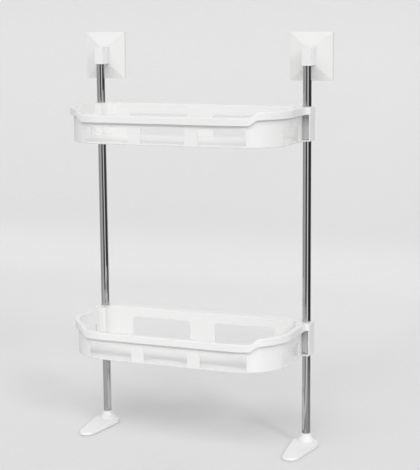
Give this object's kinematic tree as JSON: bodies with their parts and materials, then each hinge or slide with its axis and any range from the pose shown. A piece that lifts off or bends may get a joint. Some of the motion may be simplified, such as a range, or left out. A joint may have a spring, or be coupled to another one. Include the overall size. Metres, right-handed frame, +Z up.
{
  "type": "bathroom shelf",
  "caption": "Free-standing tiered bathroom shelf: open moulded trays on round steel poles, with swivelling wall plates at the top and feet that reach forward.",
  "frame": {"origin": "on the floor, under the middle of the whole object's width and depth", "axes": "+X to the viewer's right, +Y back towards the wall, +Z up along the poles"},
  "size_m": [0.442, 0.19, 0.6833],
  "materials": {
    "white_plastic": "moulded, smooth and glossy",
    "polished_steel": "polished round tube",
    "foam_tape": "matt foam with adhesive",
    "grip_rubber": "matt non-slip sheet",
    "zinc_steel": "zinc plated"
  },
  "bodies": {
    "frame": {"left_top_pole": "polished_steel", "left_middle_pole": "polished_steel", "left_bottom_pole": "polished_steel", "right_top_pole": "polished_steel", "right_middle_pole": "polished_steel", "right_bottom_pole": "polished_steel", "upper_tray": "white_plastic", "upper_left_sleeve": "white_plastic", "upper_right_sleeve": "white_plastic", "lower_tray": "white_plastic", "lower_left_sleeve": "white_plastic", "lower_right_sleeve": "white_plastic"},
    "left_bracket": {"left_wall_plate": "white_plastic", "left_bracket_arm": "white_plastic", "left_adhesive_tape": "foam_tape", "left_bracket_screw": "zinc_steel"},
    "right_bracket": {"right_wall_plate": "white_plastic", "right_bracket_arm": "white_plastic", "right_adhesive_tape": "foam_tape", "right_bracket_screw": "zinc_steel"},
    "left_foot_body": {"left_foot": "white_plastic", "left_foot_grip": "grip_rubber"},
    "right_foot_body": {"right_foot": "white_plastic", "right_foot_grip": "grip_rubber"}
  },
  "joints": [
    {"name": "left_bracket_swivel", "type": "hinge", "parent": "frame", "child": "left_bracket", "pos_m": [-0.185, 0.068, 0.64], "axis": [0, 0, 1], "continuous": true},
    {"name": "right_bracket_swivel", "type": "hinge", "parent": "frame", "child": "right_bracket", "pos_m": [0.185, 0.068, 0.64], "axis": [0, 0, 1], "continuous": true},
    {"name": "left_foot_swivel", "type": "hinge", "parent": "frame", "child": "left_foot_body", "pos_m": [-0.185, 0.068, 0.012], "axis": [0, 0, 1], "continuous": true},
    {"name": "right_foot_swivel", "type": "hinge", "parent": "frame", "child": "right_foot_body", "pos_m": [0.185, 0.068, 0.012], "axis": [0, 0, 1], "continuous": true}
  ]
}
